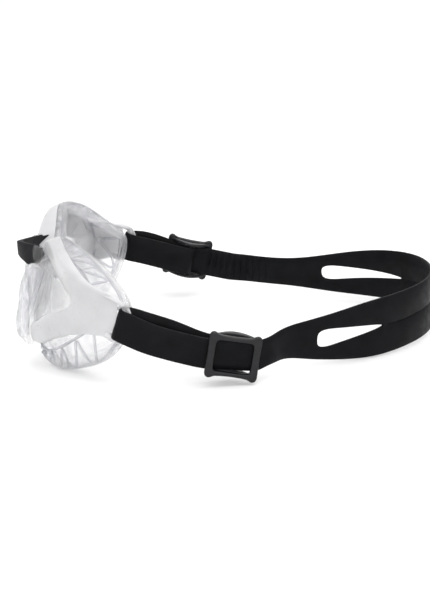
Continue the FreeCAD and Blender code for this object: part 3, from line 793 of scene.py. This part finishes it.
def add_section(bm, section):
    """The outer and inner line of vertices on each half of one section, and if its slot is open."""
    place, normal, across, top, bottom, high, low, seam, rib = section
    thick = STRAP_THICKNESS / 2
    open_slot = high - low > 0.02
    lines = []
    for edge, inner, flip in ((top, high, 1), (bottom, low, -1)):
        span = abs(edge - inner)
        room = min(EDGE, 0.3 * span)
        heights = [edge, edge - flip * room, edge - flip * 0.5 * span, inner + flip * room, inner]
        depths = [thick - EDGE, thick, thick, thick, thick - (EDGE if open_slot else seam)]
        for face in (1, -1):
            line = []
            for h, d in zip(heights, depths):
                if face < 0 and rib and EDGE < abs(h - edge):
                    d = d - rib
                line.append(bm.verts.new(place + across * h + normal * (face * d)))
            lines.append(line)
    return lines, open_slot


def build_strap():
    """The whole band as a rounded ribbon with two slots, a seam and ribs near the right buckle."""
    bm = bmesh.new()
    sections = bar_turn(1) + run_sections() + bar_turn(-1)[::-1]
    columns = [add_section(bm, section) for section in sections]
    for (first, a_open), (second, b_open) in zip(columns, columns[1:]):
        for one, two in zip(first, second):
            for i in range(len(one) - 1):
                bm.faces.new((one[i], one[i + 1], two[i + 1], two[i]))
        sides = (0, -1) if a_open or b_open else (0,)  # the edge, and the slot's wall
        for half in (0, 2):
            for i in sides:
                bm.faces.new((first[half][i], second[half][i], second[half + 1][i],
                              first[half + 1][i]))
    for lines, _ in (columns[0], columns[-1]):
        for half in (0, 2):
            outer, inner = lines[half], lines[half + 1]
            for i in range(len(outer) - 1):
                bm.faces.new((outer[i], outer[i + 1], inner[i + 1], inner[i]))
    obj = finish_mesh(bm, "strap_band", [SILICONE], angle=60)
    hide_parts("strap")


# The folded end: the depth of the buckle's centre bar inside the run, the fold's radius round it,
# and the length of each of the two steps of its free tail.
BUCKLE_BAR_INSIDE = 4.8
FOLD_RADIUS = 2.7
TAIL_STEP = 2.5
RETURN_STEPS = 60


def return_path(data):
    """Places along the band's folded end, and how steeply the band climbs at each."""
    at, slope = data["at"], data["slope"]
    bar_x = RUN_X - BUCKLE_BAR_INSIDE
    knots = data["back"] + [(at - 6, run_height(data, at - 6)), (at, run_height(data, at))]
    ys, zs = smooth_heights(knots)
    path = []
    for y in np.linspace(knots[0][0], at, RETURN_STEPS):
        share = np.clip((y - BAR[1]) / (at - BAR[1] - 4), 0, 1)
        share = share * share * (3 - 2 * share)
        x = BAR[0] - WRAP_RADIUS + share * (bar_x - FOLD_RADIUS - BAR[0] + WRAP_RADIUS)
        path.append((x, y, np.interp(y, ys, zs)))
    along = np.array((0, 1, slope)) / math.hypot(1, slope)
    hub = np.array((bar_x, at, run_height(data, at)))
    for angle in np.linspace(math.pi, 0, 15)[1:]:
        outward = np.array((math.cos(angle), 0, 0))
        path.append(hub + FOLD_RADIUS * (outward + math.sin(angle) * along))
    path.append(path[-1] - TAIL_STEP * along)
    path.append(path[-1] - TAIL_STEP * along)
    path = np.array(path)
    steep = np.full(len(path), slope)
    steep[:RETURN_STEPS] = np.gradient(path[:RETURN_STEPS, 2], path[:RETURN_STEPS, 1])
    return path, steep


def build_return(name, side):
    """The band's end, from the arm to its fold round the buckle's centre bar."""
    data = SIDES[side]
    path, steep = return_path(data)
    ahead = np.gradient(path, axis=0)
    ahead /= np.linalg.norm(ahead, axis=1)[:, None]
    thick = STRAP_THICKNESS / 2 - 0.05
    half = STRAP_HALF - 0.03
    profile = [(half, thick - EDGE), (half - EDGE, thick), (0, thick), (EDGE - half, thick),
               (-half, thick - EDGE), (-half, EDGE - thick), (EDGE - half, -thick), (0, -thick),
               (half - EDGE, -thick), (half, EDGE - thick)]
    rings = []
    for place, direction, lean in zip(path, ahead, steep):
        across = np.array((0, -lean, 1)) / math.hypot(1, lean)
        normal = np.cross(direction, across)
        normal /= np.linalg.norm(normal)
        rings.append([place + across * h + normal * d for h, d in profile])
    bm = bmesh.new()
    close_ends(bm, add_grid(bm, [mirrored(r, side) for r in rings], around=True))
    word = "left" if side > 0 else "right"
    obj = finish_mesh(bm, name, [SILICONE], body=None, angle=60)
    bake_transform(obj)
    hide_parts("strap_return_" + word)


# ---------------------------------------------------------------- buckles

# The slider is drawn in its own frame: x along the band, y outwards, z up. This is one quarter of
# its front frame, as matched (x, z) points on the outer edge and on the window's edge.
FRONT_OUTSIDE = [(14.1, 0), (14.2, 6), (14.25, 9.2), (14.1, 11.2), (13.3, 12.5), (12.2, 13.0),
                 (11, 12.8), (9.9, 12.2), (8.4, 11.7), (4, 11.4), (0, 11.3)]
FRONT_WINDOW = [(10.1, 0), (10.1, 4), (10.0, 6.8), (9.7, 7.8), (9.1, 8.4), (8.4, 8.7), (7.8, 8.8),
                (6.8, 8.8), (5.4, 8.8), (3, 8.8), (0, 8.8)]
FRONT_DEPTH = (1.3, 4.3)  # its inner and outer face
FRONT_BEVEL = 0.9
RAIL_EDGES = (9.5, 11.2)  # the lower and upper side of the upper rail
RAIL_HALF = 12.6
RAIL_BEVEL = 0.4
CENTRE_BAR_RADIUS = 1.5


def all_round(quarter):
    """A closed outline from its first quarter."""
    q = [np.array(p, float) for p in quarter]
    half = q + [p * (-1, 1) for p in q[-2::-1]]
    outline = half + [p * (1, -1) for p in half[-2:0:-1]]
    return closed_curve([(x, 0, z) for x, z in outline], 3)


def add_front_frame(bm):
    """A flat ring with rounded ears at its corners and rounded edges."""
    (low, high), bevel = FRONT_DEPTH, FRONT_BEVEL
    outer, inner = all_round(FRONT_OUTSIDE), all_round(FRONT_WINDOW)
    step = inner - outer
    step /= np.linalg.norm(step, axis=1)[:, None]
    profile = [(bevel, low), (0.3 * bevel, low + 0.3 * bevel), (0, low + bevel),
               (0, high - bevel), (0.3 * bevel, high - 0.3 * bevel), (bevel, high)]
    rows = [outer + step * inset + (0, y, 0) for inset, y in profile]
    rows += [inner - step * inset + (0, y, 0) for inset, y in profile[::-1]]
    add_grid(bm, rows, around=True, across=True)


def add_rail(bm, low, high):
    """A rail that dips towards the head between the two end bars."""
    b = RAIL_BEVEL
    rows = []
    for t in np.linspace(0, 1, 25):
        x = RAIL_HALF * (2 * t - 1)
        dip = math.sin(math.pi * t)
        outer, inner = 3.1 - 5.9 * dip, 1.5 - 8.3 * dip
        rows.append([(x, outer, low + b), (x, outer, high - b), (x, outer - b, high),
                     (x, inner + b, high), (x, inner, high - b), (x, inner, low + b),
                     (x, inner + b, low), (x, outer - b, low)])
    close_ends(bm, add_grid(bm, rows, around=True))


def build_buckle(name, side):
    """Slider with a front frame, rounded ears, arched rails and the centre bar."""
    data = SIDES[side]
    bm = bmesh.new()
    add_front_frame(bm)
    for sign in (-1, 1):
        add_rail(bm, *sorted(sign * edge for edge in RAIL_EDGES))
    bar = [(0, -BUCKLE_BAR_INSIDE, z) for z in np.linspace(-10.6, 10.6, 5)]
    tube(bm, bar, CENTRE_BAR_RADIUS, sides=20)
    along = Vector((0, 1, data["turn"])).normalized()
    outward = Vector((side, 0, 0))
    turn = Matrix((along, outward, along.cross(outward))).transposed().to_4x4()
    place = Vector((side * RUN_X, data["at"], run_height(data, data["at"])))
    bm.transform(Matrix.Translation(place) @ turn)
    word = "left" if side > 0 else "right"
    obj = finish_mesh(bm, name, [PLASTIC], body="buckle_" + word, angle=40)
    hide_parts("buckle_" + word)


# ---------------------------------------------------------------- the whole mask

for word, side in (("left", 1), ("right", -1)):
    build_frame("rim_" + word, side)
    build_hook("rim_" + word, side)
    build_lens("pane_" + word, side)
    build_gasket("skirt_" + word, side)
    build_lattice("skirt_" + word, side)
    build_carrier("ring_" + word, side)
    build_socket("ring_" + word, side)
    build_return("band_end_" + word, side)
    build_buckle("slider_" + word, side)
build_strap()
build_bridge()


# ---------------------------------------------------------------- floor, light and camera

# Lengths from here on are in metres, in the CAD frame.

def floor_material():
    """Plain white, with a little glow so that it matches the surroundings."""
    m = Material("floor", (0.84, 0.84, 0.84), 0.85, Specular_IOR_Level=0.1,
                 Emission_Color=(1, 1, 1, 1), Emission_Strength=0.08)
    m.colour(m.noise(3), (0.83, 0.83, 0.83), (0.85, 0.85, 0.85))
    return m.material


FLOOR_SIZE, FLOOR_GAP = 12, 0.0004
bpy.ops.mesh.primitive_plane_add(size=FLOOR_SIZE, location=(0, 0, CAD_BOX[0][2] - FLOOR_GAP))
floor = bpy.context.object
floor.name = "floor"
floor.data.materials.append(floor_material())

HORIZON_LIGHT, ZENITH_LIGHT = 0.75, 1.25
LIGHT_TARGET = Vector((0, 0, 0.03))


def studio_world():
    """White surroundings that brighten from the horizon to the zenith."""
    world = bpy.data.worlds.new("studio")
    world.use_nodes = True
    nodes, links = world.node_tree.nodes, world.node_tree.links
    direction = nodes.new("ShaderNodeTexCoord")
    axes = nodes.new("ShaderNodeSeparateXYZ")
    shade = nodes.new("ShaderNodeMapRange")
    shade.inputs["From Min"].default_value = 0.0
    shade.inputs["To Min"].default_value = HORIZON_LIGHT
    shade.inputs["To Max"].default_value = ZENITH_LIGHT
    links.new(direction.outputs["Generated"], axes.inputs["Vector"])
    links.new(axes.outputs["Z"], shade.inputs["Value"])
    links.new(shade.outputs["Result"], nodes["Background"].inputs["Strength"])
    nodes["Background"].inputs["Color"].default_value = (1, 1, 1, 1)
    return world


bpy.context.scene.world = studio_world()


def area_light(name, place, size, power):
    """A rectangle of light that points at the mask."""
    data = bpy.data.lights.new(name, "AREA")
    data.shape = "RECTANGLE"
    data.size, data.size_y = size
    data.energy = power
    light = bpy.data.objects.new(name, data)
    light.location = place
    light.rotation_mode = "QUATERNION"
    light.rotation_quaternion = (LIGHT_TARGET - Vector(place)).to_track_quat("-Z", "Y")
    bpy.context.scene.collection.objects.link(light)


area_light("key", (0.7, -0.5, 0.9), (0.7, 0.7), 1.0)
area_light("fill", (0.9, 0.05, 0.42), (0.5, 0.5), 1.6)
area_light("top", (0.1, 0.2, 1.1), (1.0, 1.0), 5.6)
area_light("rim", (-0.8, 0.4, 0.6), (0.5, 0.9), 1.0)

# The camera looks from AZIMUTH and ELEVATION at AIM, turned by ROLL about its own axis.
AZIMUTH, ELEVATION, ROLL = math.radians(88.87), math.radians(18.13), math.radians(-3.0)
AIM = Vector((0, -0.0056, 0.0206))
CAMERA_DISTANCE = 0.85
SENSOR_WIDTH, FOCAL_LENGTH = 36.0, 86.920266


def add_camera():
    back = Vector((math.sin(AZIMUTH) * math.cos(ELEVATION),
                   -math.cos(AZIMUTH) * math.cos(ELEVATION), math.sin(ELEVATION)))
    right = (-back).cross(Vector((0, 0, 1))).normalized()
    up = right.cross(-back)
    turned_right = right * math.cos(ROLL) + up * math.sin(ROLL)
    turned_up = up * math.cos(ROLL) - right * math.sin(ROLL)
    data = bpy.data.cameras.new("camera")
    data.sensor_width = SENSOR_WIDTH
    data.lens = FOCAL_LENGTH
    camera = bpy.data.objects.new("camera", data)
    spin = Matrix((turned_right, turned_up, back)).transposed().to_4x4()
    camera.matrix_world = Matrix.Translation(AIM + back * CAMERA_DISTANCE) @ spin
    bpy.context.scene.collection.objects.link(camera)
    bpy.context.scene.camera = camera


add_camera()
bpy.context.scene.view_settings.view_transform = "Standard"

bpy.context.view_layer.update()
